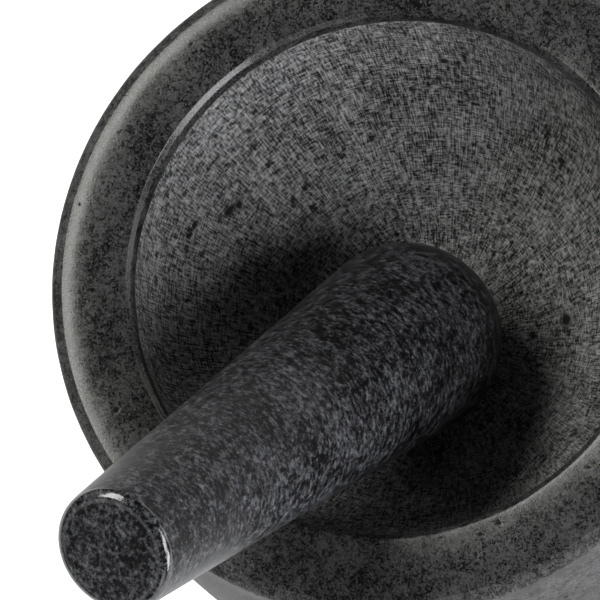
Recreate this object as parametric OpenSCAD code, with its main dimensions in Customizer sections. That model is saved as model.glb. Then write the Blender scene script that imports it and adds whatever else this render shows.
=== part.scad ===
// Granite mortar and pestle, a molcajete of the smooth barrel kind.
// Millimetres, +Z up. The origin is the centre of the mortar's flat base.
// The mortar is turned about Z. The pestle stands in its bowl and leans towards -X.

/* [Mortar] */
// Outside diameter of the rim, where the shoulder rounding meets the wall
rim_d = 180; // [174:1:186]
// Outside diameter at the widest part of the wall
barrel_d = 188; // [187:1:200]
// Height from the base to the crest of the rim
mortar_h = 115; // [108:1:130]
// Height of the widest part above the base
bulge_h = 44; // [30:1:60]
// Rounding between the rim and the wall
shoulder_r = 3; // [2:0.5:6]
// Rounding between the wall and the base
foot_r = 26; // [10:1:40]
// How far the crowned rim falls from its crest at the shoulder to the mouth
rim_crown = 1.4; // [0.5:0.1:2]

/* [Bowl] */
// Diameter of the mouth, at the polished edge of the rim
mouth_d = 139.5; // [138:0.5:145]
// Diameter of the round hollow that is ground out of the block
bowl_d = 136; // [132:0.5:137]
// Depth of the hollow below the crest of the rim
bowl_depth = 75.5; // [74.5:0.5:82]
// Height of the polished lip between the mouth and the ground hollow
lip_h = 3.5; // [1:0.1:4.5]
// Width of the small ledge under the lip
ledge_w = 0.4; // [0.2:0.1:0.8]

/* [Pestle] */
// Length from the round head to the flat end of the grip
pestle_l = 182; // [150:1:210]
// Diameter of the round head
head_d = 52; // [46:0.5:58]
// Diameter of the grip at its flat end
grip_d = 31.5; // [26:0.5:38]
// Rounding round the grip's flat end
grip_edge_r = 2.7; // [1:0.1:4]
// How far the grip's end face is domed
grip_dome = 0.8; // [0.3:0.1:2]
// Slope of the resting pestle above the horizontal, in degrees
lean = 53.5; // [50:0.5:58]

/* [Fit] */
// Gap left between the resting pestle and the mortar
rest_gap = 0.3; // [0.2:0.05:0.6]

/* [Hidden] */
$fn = 180;

// Radius of a circle that rises by sag over half_width
function arc_r(half_width, sag) = (half_width * half_width + sag * sag) / (2 * sag);
// Side of a right triangle, from its long side and its other side
function leg(long_side, side) = sqrt(long_side * long_side - side * side);
// Point at a distance from a start, in a direction given as an angle
function along(start, angle, distance) = start + distance * [cos(angle), sin(angle)];
// Direction of one point seen from another
function heading(from, to) = atan2(to.y - from.y, to.x - from.x);

// Mortar wall: one shallow arc, widest at bulge_h, that runs into both roundings
wall_arc_r = arc_r(mortar_h - shoulder_r - bulge_h, (barrel_d - rim_d) / 2);
wall_c = [barrel_d / 2 - wall_arc_r, bulge_h];

// Shoulder: touches the wall from inside, and its highest point is the crest of the rim
shoulder_y = mortar_h - shoulder_r;
shoulder_c = [wall_c.x + leg(wall_arc_r - shoulder_r, shoulder_y - bulge_h), shoulder_y];

// Foot: touches the wall and the base from inside
foot_c = [wall_c.x + leg(wall_arc_r - foot_r, foot_r - bulge_h), foot_r];

// Rim: a flat arc that falls from the crest to the mouth
crown_r = arc_r(shoulder_c.x - mouth_d / 2, rim_crown);
crown_c = [shoulder_c.x, mortar_h - crown_r];

// Bowl: half a ball, with a short straight collar up to the lip
bowl_r = bowl_d / 2;
bowl_c = [0, mortar_h - bowl_depth + bowl_r];
mouth = [mouth_d / 2, mortar_h - rim_crown];
lip_foot = [bowl_r + ledge_w, mouth.y - lip_h];

// Pestle outline: head and grip edge are circles, joined by a line that touches both
head_r = head_d / 2;
head_c = [0, head_r];
dome_r = arc_r(grip_d / 2, grip_dome);
grip_edge_x = grip_d / 2 - grip_edge_r;
grip_edge_c = [grip_edge_x, pestle_l - dome_r + leg(dome_r - grip_edge_r, grip_edge_x)];
touch = acos((head_r - grip_edge_r) / norm(grip_edge_c - head_c));
side_angle = heading(head_c, grip_edge_c) - touch;

// Resting place: the head touches the hollow and the underside touches the mouth,
// each less rest_gap. swing turns the head round the bowl's centre, away from straight down.
head_path_r = bowl_r - head_r - rest_gap;
underside = lean + side_angle;
mouth_reach = mouth.x * sin(underside) + (bowl_c.y - mouth.y) * cos(underside);
swing = underside - acos((mouth_reach - head_r - rest_gap) / head_path_r);
rest_x = -head_path_r * sin(swing);
rest_z = bowl_c.y - head_path_r * cos(swing);

// The wall between its two roundings, and everything inside it
module wall_outline() {
    far = 2 * wall_arc_r;
    intersection() {
        square([barrel_d, mortar_h]);
        translate(wall_c) circle(wall_arc_r);
        polygon([
            wall_c,
            along(wall_c, heading(wall_c, foot_c), far),
            along(wall_c, heading(wall_c, shoulder_c), far)
        ]);
    }
}

// The crowned rim, from the shoulder inwards
module rim_outline() {
    intersection() {
        translate([0, shoulder_y]) square([shoulder_c.x, shoulder_r]);
        translate(crown_c) circle(crown_r);
    }
}

// The mortar without its bowl, as half of an upright section
module block_outline() {
    wall_outline();
    rim_outline();
    translate(shoulder_c) circle(shoulder_r);
    translate(foot_c) circle(foot_r);
    polygon([[0, 0], [foot_c.x, 0], foot_c, shoulder_c, [0, shoulder_y]]);
}

// The hollow and the sloping lip above it, as half of an upright section
module bowl_outline() {
    above = mortar_h + rim_crown;
    translate(bowl_c) circle(bowl_r);
    translate(bowl_c) square([bowl_r, lip_foot.y - bowl_c.y]);
    polygon([[0, above], [mouth.x, above], mouth, lip_foot, [0, lip_foot.y]]);
}

// The pestle's head, as half of an upright section
module head_outline() {
    intersection() {
        square([head_r, head_d]);
        translate(head_c) circle(head_r);
    }
}

// The straight taper from the head to the domed end face
module shaft_outline() {
    intersection() {
        translate([0, pestle_l - dome_r]) circle(dome_r);
        polygon([
            head_c,
            along(head_c, side_angle, head_r),
            along(grip_edge_c, side_angle, grip_edge_r),
            grip_edge_c,
            [grip_edge_c.x, pestle_l],
            [0, pestle_l]
        ]);
    }
}

// The pestle standing on its head, as half of an upright section
module pestle_outline() {
    head_outline();
    shaft_outline();
    translate(grip_edge_c) circle(grip_edge_r);
}

module mortar() {
    color([0.27, 0.28, 0.28])
    rotate_extrude()
    difference() {
        block_outline();
        bowl_outline();
    }
}

module pestle() {
    color([0.17, 0.18, 0.20])
    translate([rest_x, 0, rest_z])
    rotate([0, lean - 90, 0])
    translate([0, 0, -head_r])
    rotate_extrude()
    pestle_outline();
}

mortar();
pestle();
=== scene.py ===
import math

import bpy
import numpy as np
from mathutils import Matrix, Vector, noise


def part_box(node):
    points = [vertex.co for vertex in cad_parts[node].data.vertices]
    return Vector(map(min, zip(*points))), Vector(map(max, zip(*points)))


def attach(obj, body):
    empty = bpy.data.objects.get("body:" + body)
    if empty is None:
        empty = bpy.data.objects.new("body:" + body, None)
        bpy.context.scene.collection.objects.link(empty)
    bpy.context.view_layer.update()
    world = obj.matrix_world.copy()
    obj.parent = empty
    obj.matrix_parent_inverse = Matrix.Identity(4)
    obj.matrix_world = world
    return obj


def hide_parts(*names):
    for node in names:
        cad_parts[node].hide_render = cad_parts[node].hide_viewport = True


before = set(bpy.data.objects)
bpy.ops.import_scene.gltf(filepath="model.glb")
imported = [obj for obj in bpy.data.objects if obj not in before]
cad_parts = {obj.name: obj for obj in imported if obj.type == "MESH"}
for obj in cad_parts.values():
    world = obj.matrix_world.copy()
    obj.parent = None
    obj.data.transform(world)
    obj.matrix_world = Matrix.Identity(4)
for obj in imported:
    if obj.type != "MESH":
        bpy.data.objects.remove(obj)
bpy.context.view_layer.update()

# A granite mortar and pestle. Each stone is an outline turned about its own axis, worn uneven by noise.

# ---------------------------------------------------------------- sizes, from the CAD frame

MORTAR_LOW, MORTAR_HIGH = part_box("mortar")
PESTLE_LOW, PESTLE_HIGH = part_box("pestle")
MM = 0.001

BARREL_R = (MORTAR_HIGH.x - MORTAR_LOW.x) / 2
HEIGHT = MORTAR_HIGH.z
SKIN = 0.05 * MM  # the shaped stone stays this far inside the CAD part

# Outer wall, shoulder and rim
BULGE_Z = 0.383 * HEIGHT
SHOULDER_R = 0.032 * BARREL_R
CREST_R = 0.926 * BARREL_R
FOOT_R = 0.277 * BARREL_R
RIM_FALL = 0.0122 * HEIGHT
BROW_R = 0.25 * BARREL_R  # wide rounding between the crest and the shoulder
BROW_END = math.radians(76)  # steepness at which the brow gives way to the shoulder
CREST_WEAR = 0.0022 * HEIGHT

# Mouth, lip and hollow
MOUTH_R = 0.7428 * BARREL_R
BOWL_R = 0.7242 * BARREL_R
BOWL_CENTRE_Z = 0.9348 * HEIGHT
LIP_DROP = 0.0325 * HEIGHT
LIP_BEVEL = 0.0144 * BARREL_R
LIP_BEVEL_DROP = 0.0139 * HEIGHT
EDGE_ROUND = 0.0106 * BARREL_R

# Pestle: the place of its head comes from the box it fills, and the lean is a given angle
PESTLE_R = (PESTLE_HIGH.y - PESTLE_LOW.y) / 2
LEAN = math.radians(53.5)
HEAD_CENTRE = Vector((PESTLE_HIGH.x - PESTLE_R, 0, PESTLE_LOW.z + PESTLE_R))
PESTLE_LENGTH = 7.0 * PESTLE_R
GRIP_R = 0.606 * PESTLE_R
GRIP_ROUND = 0.104 * PESTLE_R
GRIP_DOME = 0.031 * PESTLE_R

# Points round each turned mesh
MORTAR_SEGMENTS = 720
PESTLE_SEGMENTS = 360


# ---------------------------------------------------------------- outlines and turned meshes

def arc(centre, radius, start, end, count):
    """Points on a circle in the (radius, height) half plane, between two angles in radians."""
    angles = np.linspace(start, end, count)
    return np.column_stack((centre[0] + radius * np.cos(angles), centre[1] + radius * np.sin(angles)))


def line(start, end, count):
    return np.linspace(start, end, count)


def arc_radius(half_width, sag):
    """Radius of a circle that rises by sag over half_width."""
    return (half_width ** 2 + sag ** 2) / (2 * sag)


def leg(long_side, side):
    """Side of a right triangle, from its long side and its other side."""
    return math.sqrt(long_side ** 2 - side ** 2)


def bearing(start, end):
    return math.atan2(end[1] - start[1], end[0] - start[0])


def along(start, distance, angle):
    return np.array((start[0] + distance * math.cos(angle), start[1] + distance * math.sin(angle)))


def rounded_corner(corner, radius, first, second):
    """Centre of a circle that touches two lines through a corner, given the angles that they face."""
    sum_of_facings = along((0.0, 0.0), 1.0, first) + along((0.0, 0.0), 1.0, second)
    return np.array(corner) - radius * sum_of_facings / (1 + math.cos(second - first))


def join(*runs):
    """One outline from several runs of points, without shared points, and each point's run number."""
    points, run_numbers = [], []
    for number, run in enumerate(runs):
        for point in run:
            if points and np.hypot(*(point - points[-1])) < 1e-6:
                continue
            points.append(point)
            run_numbers.append(number)
    return np.array(points), np.array(run_numbers)


def outline_normals(points):
    """Unit normals of an outline that runs with the stone on its left."""
    tangents = np.gradient(points, axis=0)
    normals = np.column_stack((tangents[:, 1], -tangents[:, 0]))
    return normals / np.linalg.norm(normals, axis=1)[:, None]


def turned_mesh(name, outline, segments, carve):
    """Turns an outline about Z. carve(points, ring) gives how far each point is cut in along its normal."""
    normals = outline_normals(outline)
    turns = np.linspace(0, 2 * math.pi, segments, endpoint=False)
    around = np.column_stack((np.cos(turns), np.sin(turns)))
    rings = []
    for ring, ((radius, height), normal) in enumerate(zip(outline, normals)):
        surface = np.column_stack((radius * around, np.full(segments, height)))
        outward = np.column_stack((normal[0] * around, np.full(segments, normal[1])))
        rings.append(surface - outward * carve(surface, ring)[:, None])
    rings[0][:] = rings[0].mean(axis=0)
    rings[-1][:] = rings[-1].mean(axis=0)

    points = np.vstack((rings[0][:1], *rings[1:-1], rings[-1][:1]))
    last = len(points) - 1
    here = np.arange(segments)
    beyond = (here + 1) % segments
    faces = [(0, 1 + b, 1 + a) for a, b in zip(here, beyond)]
    for ring in range(len(rings) - 3):
        low = 1 + ring * segments
        high = low + segments
        faces += [(low + a, low + b, high + b, high + a) for a, b in zip(here, beyond)]
    top = 1 + (len(rings) - 3) * segments
    faces += [(top + a, top + b, last) for a, b in zip(here, beyond)]

    mesh = bpy.data.meshes.new(name)
    mesh.from_pydata(points.tolist(), [], [tuple(int(i) for i in face) for face in faces])
    mesh.shade_smooth()
    piece = bpy.data.objects.new(name, mesh)
    bpy.context.scene.collection.objects.link(piece)
    return piece


def unevenness(points, feature, seed):
    """Smooth noise from 0 to 1 at each point. feature is its size in metres."""
    octaves = 3
    step_down = 0.8
    finer = 2.0
    shift = Vector((seed * 7.31, seed * 3.77, seed * 5.13))
    values = [noise.fractal(Vector(point) / feature + shift, step_down, finer, octaves) for point in points]
    return np.clip(0.5 + 0.5 * np.array(values), 0, 1)


def runs_of_faces(piece, runs, segments):
    """The run of the outline that each face of a turned mesh starts from."""
    rings = np.arange(len(piece.data.polygons)) // segments
    return runs[rings]


# ---------------------------------------------------------------- the mortar

def mortar_outline():
    """The mortar's section, from the centre of its base round to the bottom of its hollow."""
    crest_z = HEIGHT - CREST_WEAR
    brow_to_shoulder = BROW_R - SHOULDER_R
    brow = (CREST_R - brow_to_shoulder * math.cos(BROW_END), crest_z - BROW_R)
    shoulder_z = brow[1] + brow_to_shoulder * math.sin(BROW_END)
    shoulder = (CREST_R, shoulder_z)
    half_rise = shoulder_z - BULGE_Z
    wall_r = arc_radius(half_rise, BARREL_R - CREST_R - SHOULDER_R)
    wall = (BARREL_R - wall_r, BULGE_Z)
    foot = (wall[0] + leg(wall_r - FOOT_R, FOOT_R - BULGE_Z), FOOT_R)
    crown_r = arc_radius(brow[0] - MOUTH_R, RIM_FALL - CREST_WEAR)
    crown = (brow[0], crest_z - crown_r)
    mouth = (MOUTH_R, HEIGHT - RIM_FALL)
    bevel_foot = (MOUTH_R - LIP_BEVEL, mouth[1] - LIP_BEVEL_DROP)
    lip_foot = (BOWL_R, mouth[1] - LIP_DROP)
    rim_faces = bearing(crown, mouth)
    lip_faces = bearing(bevel_foot, mouth) + math.pi / 2
    edge = rounded_corner(mouth, EDGE_ROUND, rim_faces, lip_faces)
    edge_reach = EDGE_ROUND * math.tan((lip_faces - rim_faces) / 2)
    hollow = (0.0, BOWL_CENTRE_Z)
    runs = [
        line((0, 0), (foot[0], 0), 4),
        arc(foot, FOOT_R, -math.pi / 2, bearing(wall, foot), 9),
        arc(wall, wall_r, bearing(wall, foot), bearing(wall, shoulder), 16),
        arc(shoulder, SHOULDER_R, bearing(wall, shoulder), BROW_END, 12),
        arc(brow, BROW_R, BROW_END, math.pi / 2, 6),
        arc(crown, crown_r, math.pi / 2, rim_faces - edge_reach / crown_r, 14),
        arc(edge, EDGE_ROUND, rim_faces, lip_faces, 8),
        line(along(edge, EDGE_ROUND, lip_faces), bevel_foot, 5),
        line(bevel_foot, lip_foot, 5),
        line(lip_foot, (BOWL_R, BOWL_CENTRE_Z), 3),
        arc(hollow, BOWL_R, 0, -math.pi / 2, 67),
    ]
    return join(*runs)


# Numbers of the runs in the mortar's outline
BASE, FOOT, WALL, SHOULDER, BROW, RIM, EDGE, BEVEL, LIP, COLLAR, HOLLOW = range(11)
# The mortar's material slots, in the order that build_mortar fills them
POLISHED_SLOT, GROUND_SLOT, WALL_SLOT = range(3)
# How deep hand work has left each run uneven, in millimetres
UNEVEN = {BASE: 0.0, FOOT: 0.10, WALL: 0.12, SHOULDER: 0.10, BROW: 0.09, RIM: 0.08, EDGE: 0.10, BEVEL: 0.12,
          LIP: 0.16, COLLAR: 0.3, HOLLOW: 0.3}


def build_mortar():
    outline, runs = mortar_outline()

    def carve(points, ring):
        run = runs[ring]
        hand_work = UNEVEN[run] * MM * unevenness(points, 9 * MM, 1)
        return hand_work + SKIN * (run != BASE)

    piece = turned_mesh("mortar_stone_body", outline, MORTAR_SEGMENTS, carve)
    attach(piece, "mortar")
    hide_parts("mortar")
    for material in (polished_granite(), ground_granite(), wall_granite()):
        piece.data.materials.append(material)
    face_runs = runs_of_faces(piece, runs, MORTAR_SEGMENTS)
    slots = np.select([face_runs <= SHOULDER, face_runs <= LIP], [WALL_SLOT, POLISHED_SLOT], GROUND_SLOT)
    piece.data.polygons.foreach_set("material_index", slots.astype(np.int32))


# ---------------------------------------------------------------- the pestle

def pestle_outline():
    """The pestle's section standing on its head, from the tip of the head to the grip's end."""
    head = (0.0, 0.0)
    top = PESTLE_LENGTH - PESTLE_R
    dome_r = arc_radius(GRIP_R, GRIP_DOME)
    round_x = GRIP_R - GRIP_ROUND
    grip = (round_x, top - dome_r + leg(dome_r - GRIP_ROUND, round_x))
    side = bearing(head, grip) - math.acos((PESTLE_R - GRIP_ROUND) / math.hypot(*grip))
    dome = (0.0, top - dome_r)
    end = bearing(dome, grip)
    facing = np.array((math.cos(side), math.sin(side)))
    return join(
        arc(head, PESTLE_R, -math.pi / 2, side, 60),
        line(PESTLE_R * facing, np.array(grip) + GRIP_ROUND * facing, 150),
        arc(grip, GRIP_ROUND, side, end, 12),
        arc(dome, dome_r, end, math.pi / 2, 20),
    )


# Numbers of the runs in the pestle's outline
HEAD, SHAFT, GRIP_EDGE, GRIP_END = range(4)
# How deep hand work has left it uneven, in millimetres
PESTLE_UNEVEN = 0.08


def build_pestle():
    outline, runs = pestle_outline()

    def carve(points, ring):
        return SKIN + PESTLE_UNEVEN * MM * unevenness(points, 7 * MM, 2)

    piece = turned_mesh("pestle_stone_body", outline, PESTLE_SEGMENTS, carve)
    piece.data.transform(Matrix.Translation(HEAD_CENTRE) @ Matrix.Rotation(LEAN - math.pi / 2, 4, "Y"))
    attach(piece, "pestle")
    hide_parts("pestle")
    plain = pestle_granite("pestle_granite", smoothest=0.32, dullest=0.44, shine=0.12)
    worn = pestle_granite("worn_edge_granite", smoothest=0.14, dullest=0.22, shine=0.9)
    piece.data.materials.append(plain)
    piece.data.materials.append(worn)
    on_edge = runs_of_faces(piece, runs, PESTLE_SEGMENTS) == GRIP_EDGE
    piece.data.polygons.foreach_set("material_index", on_edge.astype(np.int32))


# ---------------------------------------------------------------- stone materials

class Graph:
    """Short calls for building one node material."""

    def __init__(self, name):
        self.material = bpy.data.materials.new(name)
        self.material.use_nodes = True
        self.nodes = self.material.node_tree.nodes
        self.links = self.material.node_tree.links
        self.shader = self.nodes["Principled BSDF"]

    def put(self, target, value):
        if isinstance(value, bpy.types.NodeSocket):
            self.links.new(value, target)
        else:
            target.default_value = value

    def node(self, kind, output=0, settings=None, **inputs):
        made = self.nodes.new("ShaderNode" + kind)
        for key, value in (settings or {}).items():
            setattr(made, key, value)
        for key, value in inputs.items():
            self.put(made.inputs[key.replace("_", " ")], value)
        return made.outputs[output]

    def place(self):
        return self.node("TexCoord", output="Object")

    def math(self, operation, first, second=0.0, clamp=False):
        made = self.nodes.new("ShaderNodeMath")
        made.operation = operation
        made.use_clamp = clamp
        self.put(made.inputs[0], first)
        self.put(made.inputs[1], second)
        return made.outputs[0]

    def vector_math(self, operation, first, second=(1.0, 1.0, 1.0)):
        made = self.nodes.new("ShaderNodeVectorMath")
        made.operation = operation
        self.put(made.inputs[0], first)
        self.put(made.inputs[1], second)
        return made.outputs[0]

    def length(self, value):
        made = self.nodes.new("ShaderNodeVectorMath")
        made.operation = "LENGTH"
        self.put(made.inputs[0], value)
        return made.outputs["Value"]

    def height(self, place):
        return self.node("SeparateXYZ", output=2, Vector=place)

    def noise(self, place, size, detail=3, rough=0.55):
        """Noise whose features are about size metres across."""
        return self.node("TexNoise", Vector=place, Scale=1 / size, Detail=detail, Roughness=rough)

    def jitter(self, place, size):
        """Place pushed about by up to size metres, so that round marks turn ragged."""
        push = self.node("TexNoise", output=1, Vector=place, Scale=0.6 / size, Detail=3.0)
        centred = self.vector_math("SUBTRACT", push, (0.5, 0.5, 0.5))
        return self.vector_math("ADD", place, self.vector_math("MULTIPLY", centred, (2 * size,) * 3))

    def between(self, share, first, second):
        """A number between two others."""
        gap = self.math("SUBTRACT", second, first)
        return self.math("ADD", first, self.math("MULTIPLY", share, gap))

    def fit(self, value, low, high, new_low=0.0, new_high=1.0):
        """Maps low..high to new_low..new_high with soft ends, and no further."""
        return self.node("MapRange", settings={"interpolation_type": "SMOOTHSTEP"}, Value=value,
                         From_Min=low, From_Max=high, To_Min=new_low, To_Max=new_high)

    def mix(self, share, first, second):
        made = self.nodes.new("ShaderNodeMix")
        made.data_type = "RGBA"
        self.put(made.inputs["Factor"], share)
        self.put(made.inputs[6], first)
        self.put(made.inputs[7], second)
        return made.outputs[2]

    def bump(self, height, distance):
        return self.node("Bump", Height=height, Distance=distance)


def grey(level, warm=0.0):
    """A linear grey; warm above 0 turns it olive and below 0 turns it blue."""
    return (level * (1 + warm), level * (1 + 0.6 * warm), level * (1 - 1.6 * warm), 1.0)


def around_z(g, place, reach):
    """Place moved in or out to stand reach metres from the Z axis, so that marks keep to one angle."""
    flat = g.vector_math("MULTIPLY", place, (1.0, 1.0, 0.0))
    facing = g.vector_math("NORMALIZE", flat)
    return g.vector_math("MULTIPLY", facing, (reach, reach, reach))


def with_height(g, flat, height):
    """A flat place raised to a height."""
    return g.vector_math("ADD", flat, g.node("CombineXYZ", Z=height))


def from_axis(g, place):
    """Distance of a place from the Z axis."""
    return g.length(g.vector_math("MULTIPLY", place, (1.0, 1.0, 0.0)))


def scattered(g, place, spacing, small, large, share):
    """1 in round marks of mixed sizes. share of the cells, each about spacing across, hold one."""
    cells = g.nodes.new("ShaderNodeTexVoronoi")
    g.put(cells.inputs["Vector"], place)
    cells.inputs["Scale"].default_value = 1 / spacing
    chance = cells.outputs["Color"]
    size = g.fit(chance, 1 - share, 1.0, small, large)
    held = g.math("GREATER_THAN", chance, 1 - share)
    near = g.math("SUBTRACT", 1.0, g.math("DIVIDE", cells.outputs["Distance"], size))
    return g.math("MULTIPLY", g.math("MULTIPLY", near, 2.0, clamp=True), held)


def chips(g, place, listed):
    """1 in chips at stated spots: azimuth in degrees, distance from the axis, height and radius."""
    deepest = 0.0
    for azimuth, radius, height, size in listed:
        centre = radius * direction(azimuth, 0) + Vector((0, 0, height))
        distance = g.length(g.vector_math("SUBTRACT", place, tuple(centre)))
        near = g.math("SUBTRACT", 1.0, g.math("DIVIDE", distance, size))
        deepest = g.math("MAXIMUM", deepest, g.math("MULTIPLY", near, 2.0, clamp=True))
    return deepest


def crystals(g, place, size):
    """A random tone for each crystal of the stone."""
    cells = g.nodes.new("ShaderNodeTexVoronoi")
    g.put(cells.inputs["Vector"], place)
    cells.inputs["Scale"].default_value = 1 / size
    return cells.outputs["Color"]


def blend(g, *parts):
    """A weighted sum of tones, about 0.5 in the middle, from (tone, weight) pairs."""
    total = 0.5
    for tone, weight in parts:
        total = g.math("ADD", g.math("MULTIPLY", g.math("SUBTRACT", tone, 0.5), weight), total)
    return total


# Chips that stand out on the rim and in the hollow: azimuth in degrees, distance from the axis
# as a share of the barrel's radius, and the chip's own radius in millimetres
RIM_CHIPS = (
    (172, 0.845, 0.9), (-179, 0.838, 0.7), (-178, 0.875, 0.7), (-123, 0.842, 1.2), (-36, 0.769, 1.4),
    (-40, 0.779, 0.8), (-48, 0.761, 1.0), (-42, 0.831, 0.9), (-42, 0.888, 0.9), (-15, 0.784, 1.0),
    (149, 0.835, 1.0), (164, 0.777, 0.8), (160, 0.757, 1.0), (-159, 0.770, 0.9), (-142, 0.799, 0.7),
    (70, 0.82, 1.1), (40, 0.86, 0.9), (5, 0.80, 0.8), (100, 0.90, 1.0),
)
HOLLOW_CHIPS = (
    (-178, 0.626, 2.4), (-181, 0.615, 1.8), (-170, 0.671, 1.6), (-167, 0.673, 1.5), (32, 0.387, 2.0),
    (27, 0.286, 1.8), (166, 0.618, 1.2), (113, 0.686, 1.2), (121, 0.654, 1.1), (118, 0.643, 0.9),
    (175, 0.693, 0.9), (-60, 0.60, 1.6), (-20, 0.55, 1.4), (78, 0.587, 1.5),
)


def rim_height(radius):
    """Height of the rim's stone, taken as the same at every distance from the axis."""
    return HEIGHT - 0.4 * RIM_FALL


def hollow_height(radius):
    """Height of the hollow's stone at a distance from the axis."""
    return BOWL_CENTRE_Z - leg(BOWL_R, radius)


def spots(chip_list, height_at):
    """Places of the listed chips on a surface whose height is known at each distance from the axis."""
    placed = []
    for azimuth, share, size in chip_list:
        radius = share * BARREL_R
        placed.append((azimuth, radius, height_at(radius), size * MM))
    return placed


def honed_surface(g, dark, light):
    """Colour, pits and bump of the mortar's smooth outside, with painted shade in the pits. Gives the tone
    and the pits.
    """
    place = g.place()
    clouds = g.noise(place, 12 * MM)
    mottling = g.noise(place, 2.6 * MM)
    grains = crystals(g, place, 0.6 * MM)
    grit = g.noise(place, 0.4 * MM, detail=2, rough=0.7)
    tone = blend(g, (clouds, 0.7), (mottling, 0.7), (grains, 0.5), (grit, 1.3))
    colour = g.mix(g.fit(tone, 0.15, 0.9), grey(dark), grey(light))

    wavy = g.jitter(place, 0.8 * MM)
    small_pits = scattered(g, wavy, spacing=3.4 * MM, small=0.06, large=0.22, share=0.35)
    pits = g.math("MAXIMUM", small_pits, chips(g, wavy, spots(RIM_CHIPS, rim_height)))
    # Painted shade: the pits and the listed chips are coloured near-black, standing in for the shade inside
    # them; the bump below gives their dent
    g.put(g.shader.inputs["Base Color"], g.mix(pits, colour, grey(0.004)))
    height = blend(g, (pits, -0.8), (tone, 0.24))
    g.put(g.shader.inputs["Normal"], g.bump(height, 0.12 * MM))
    return tone, pits


def set_polish(g, tone, pits, smoothest, dullest):
    """Roughness that follows the stone's tone, and is full in the pits."""
    polish = g.fit(tone, 0.2, 0.8, smoothest, dullest)
    g.put(g.shader.inputs["Roughness"], g.math("MAXIMUM", polish, pits))


def polished_granite():
    """The rim and the lip."""
    g = Graph("polished_granite")
    tone, pits = honed_surface(g, dark=0.004, light=0.072)
    set_polish(g, tone, pits, smoothest=0.14, dullest=0.26)
    return g.material


def wall_granite():
    """The shoulder and the wall below it, smooth but without a shine."""
    g = Graph("wall_granite")
    tone, pits = honed_surface(g, dark=0.010, light=0.11)
    set_polish(g, tone, pits, smoothest=0.48, dullest=0.58)
    g.shader.inputs["Specular IOR Level"].default_value = 0.1
    return g.material


def ground_granite():
    """The hollow, crossed by fine tool marks that run down it and round it."""
    g = Graph("ground_granite")
    place = g.place()
    from_centre = g.vector_math("SUBTRACT", place, (0.0, 0.0, BOWL_CENTRE_Z))
    radius = from_axis(g, place)
    depth = g.math("MULTIPLY", g.math("ARCTAN2", radius, g.height(from_centre)), BOWL_R)

    # Marks are noise that is squeezed to this share of its length along the way they run
    squeeze = 0.16
    spoke_width = 0.5 * MM
    hoop_width = 0.45 * MM
    squeezed_depth = g.math("MULTIPLY", depth, squeeze)
    outer_place = with_height(g, around_z(g, place, BOWL_R), squeezed_depth)
    inner_place = with_height(g, around_z(g, place, 0.5 * BOWL_R), squeezed_depth)
    outer_spokes = g.noise(outer_place, spoke_width, detail=1, rough=0.5)
    inner_spokes = g.noise(inner_place, spoke_width, detail=1, rough=0.5)
    outer_share = g.fit(radius, 0.35 * BOWL_R, 0.75 * BOWL_R)
    spokes = g.between(outer_share, inner_spokes, outer_spokes)
    hoop_place = with_height(g, around_z(g, place, squeeze * BOWL_R), depth)
    hoops = g.noise(hoop_place, hoop_width, detail=1, rough=0.5)

    clouds = g.noise(place, 15 * MM)
    mottling = g.noise(place, 2.2 * MM)
    grains = crystals(g, place, 0.7 * MM)
    grit = g.noise(place, 0.4 * MM, detail=2, rough=0.7)
    tone = blend(g, (clouds, 0.6), (mottling, 0.7), (grains, 0.35), (grit, 0.8), (spokes, 1.5), (hoops, 1.3))
    colour = g.mix(g.fit(tone, 0.0, 1.35), grey(0.004), grey(0.50))

    wavy = g.jitter(place, 1.2 * MM)
    small_pits = scattered(g, wavy, spacing=3.0 * MM, small=0.1, large=0.34, share=0.3)
    pits = g.math("MAXIMUM", small_pits, chips(g, wavy, spots(HOLLOW_CHIPS, hollow_height)))
    # Painted shade: the pits and the listed chips of the hollow are coloured dark, standing in for the shade
    # inside them; the bump below gives their dent
    g.put(g.shader.inputs["Base Color"], g.mix(pits, colour, grey(0.012)))
    g.shader.inputs["Roughness"].default_value = 0.85
    g.shader.inputs["Specular IOR Level"].default_value = 0.25
    height = blend(g, (spokes, 0.7), (hoops, 0.7), (grit, 0.4), (pits, -0.9))
    g.put(g.shader.inputs["Normal"], g.bump(height, 0.4 * MM))
    return g.material


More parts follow.
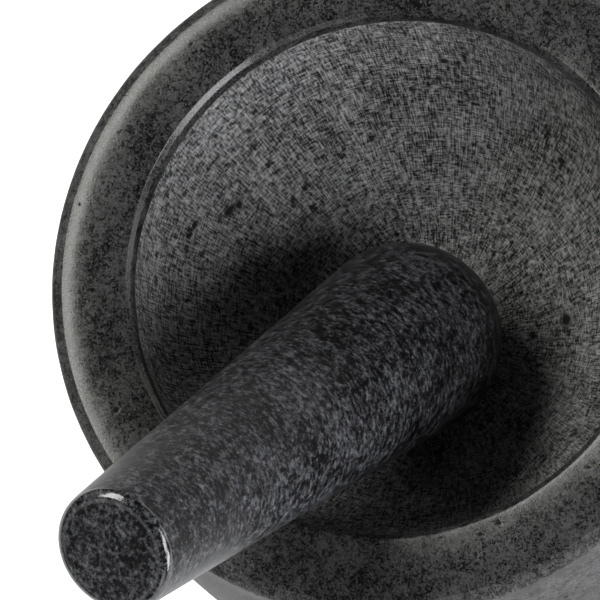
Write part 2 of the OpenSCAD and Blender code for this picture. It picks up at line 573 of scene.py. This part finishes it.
def pestle_granite(name, smoothest, dullest, shine):
    """Dark stone with blue-grey flecks, drawn out round the pestle's own axis on its sides."""
    g = Graph(name)
    off_head = g.vector_math("SUBTRACT", g.place(), tuple(HEAD_CENTRE))
    place = g.node("VectorRotate", settings={"rotation_type": "Y_AXIS"}, Vector=off_head,
                   Angle=math.pi / 2 - LEAN)
    height_up = g.height(place)
    off_axis = g.fit(from_axis(g, place), 0.2 * PESTLE_R, 0.5 * PESTLE_R)
    below_end = g.fit(height_up, 5.95 * PESTLE_R, 5.98 * PESTLE_R, 1.0, 0.0)
    on_side = g.math("MULTIPLY", off_axis, below_end)

    fleck_size = 1.1 * MM
    around = with_height(g, around_z(g, place, 0.45 * PESTLE_R), height_up)
    round_flecks = g.noise(place, fleck_size, rough=0.65)
    long_flecks = g.noise(around, fleck_size, rough=0.65)
    flecks = g.between(on_side, round_flecks, long_flecks)

    clouds = g.noise(place, 14 * MM)
    mottling = g.noise(place, 3 * MM, detail=2)
    grains = crystals(g, place, 0.9 * MM)
    grit = g.noise(place, 0.5 * MM, detail=2)
    tone = blend(g, (clouds, 0.5), (mottling, 0.6), (flecks, 1.4), (grains, 0.35), (grit, 0.7))
    colour = g.mix(g.fit(tone, 0.28, 1.35), grey(0.003, -0.03), grey(0.20, -0.045))

    wavy = g.jitter(place, 0.8 * MM)
    pits = scattered(g, wavy, spacing=4 * MM, small=0.05, large=0.18, share=0.3)
    # Painted shade: the pits are coloured near-black, standing in for the shade inside them; the bump below
    # gives their dent
    g.put(g.shader.inputs["Base Color"], g.mix(pits, colour, grey(0.008)))
    g.put(g.shader.inputs["Roughness"], g.fit(tone, 0.3, 0.8, smoothest, dullest))
    g.shader.inputs["Specular IOR Level"].default_value = shine
    height = blend(g, (pits, -0.8), (flecks, 0.4))
    g.put(g.shader.inputs["Normal"], g.bump(height, 0.12 * MM))
    return g.material


# ---------------------------------------------------------------- floor, lights and camera

def direction(azimuth, elevation):
    """Unit vector towards a place seen from the object. Azimuth 0 is the -Y side, and 90 the +X side."""
    a = math.radians(azimuth)
    e = math.radians(elevation)
    return Vector((math.sin(a) * math.cos(e), -math.cos(a) * math.cos(e), math.sin(e)))


FLOOR_GLOW = 0.75  # light that the floor gives by itself, so that it stays pale round the stone


def add_floor():
    g = Graph("pale_floor")
    g.put(g.shader.inputs["Base Color"], grey(0.82))
    g.shader.inputs["Roughness"].default_value = 0.9
    g.shader.inputs["Emission Color"].default_value = grey(1.0)
    g.shader.inputs["Emission Strength"].default_value = FLOOR_GLOW
    mesh = bpy.data.meshes.new("floor")
    reach = 30 * BARREL_R
    corners = [(-reach, -reach, 0), (reach, -reach, 0), (reach, reach, 0), (-reach, reach, 0)]
    mesh.from_pydata(corners, [], [(0, 1, 2, 3)])
    mesh.materials.append(g.material)
    floor = bpy.data.objects.new("floor", mesh)
    bpy.context.scene.collection.objects.link(floor)


COOL = (0.97, 0.98, 1.0)
WARM = (1.0, 1.0, 0.95)
# Softboxes: name, azimuth, elevation, width, height, watts, colour
SOFTBOXES = (
    ("front", -12, 14, 0.6, 0.45, 8.0, COOL),
    ("front_high", 0, 38, 0.8, 0.4, 9.0, COOL),
    ("front_left", -55, 12, 0.6, 0.5, 1.6, COOL),
    ("front_right", 35, 12, 0.6, 0.5, 2.3, COOL),
    ("back", 186, 53, 1.1, 0.36, 11.0, WARM),
    ("back_low", 176, 30, 0.9, 0.4, 0.6, WARM),
    ("right", 80, 16, 0.7, 0.7, 2.0, WARM),
    ("left", -108, 24, 0.7, 0.7, 0.9, COOL),
)
SOFTBOX_DISTANCE = 1.3


def add_softbox(name, azimuth, elevation, width, height, watts, colour):
    light = bpy.data.lights.new(name, "AREA")
    light.shape = "RECTANGLE"
    light.size = width
    light.size_y = height
    light.energy = watts
    light.color = colour
    lamp = bpy.data.objects.new(name, light)
    towards = direction(azimuth, elevation)
    lamp.location = Vector((0, 0, HEIGHT)) + SOFTBOX_DISTANCE * towards
    lamp.rotation_euler = towards.to_track_quat("Z", "Y").to_euler()
    bpy.context.scene.collection.objects.link(lamp)


def add_world():
    world = bpy.data.worlds.new("studio")
    world.use_nodes = True
    background = world.node_tree.nodes["Background"]
    background.inputs["Color"].default_value = grey(1.0)
    background.inputs["Strength"].default_value = 0.03
    bpy.context.scene.world = world


def add_camera():
    """The camera looks at a point on the rim's plane, and is turned about its own line of sight."""
    azimuth, elevation, roll = -19.26, 71.96, -40.36
    distance = 11.53 * BARREL_R
    aim = Vector((-0.1924 * BARREL_R, 0.1743 * BARREL_R, HEIGHT - RIM_FALL))
    back = direction(azimuth, elevation)
    level = Vector((math.cos(math.radians(azimuth)), math.sin(math.radians(azimuth)), 0))
    turn = Matrix.Rotation(math.radians(roll), 3, back)
    right = turn @ level
    up = back.cross(right)
    camera = bpy.data.cameras.new("camera")
    camera.sensor_width = 36.0
    camera.lens = 252.9
    camera.clip_start = 0.01
    seen = bpy.data.objects.new("camera", camera)
    facing = Matrix((right, up, back)).transposed().to_4x4()
    seen.matrix_world = Matrix.Translation(aim + distance * back) @ facing
    bpy.context.scene.collection.objects.link(seen)
    bpy.context.scene.camera = seen


build_mortar()
build_pestle()
add_floor()
add_world()
for softbox in SOFTBOXES:
    add_softbox(*softbox)
add_camera()
bpy.context.scene.view_settings.view_transform = "Standard"
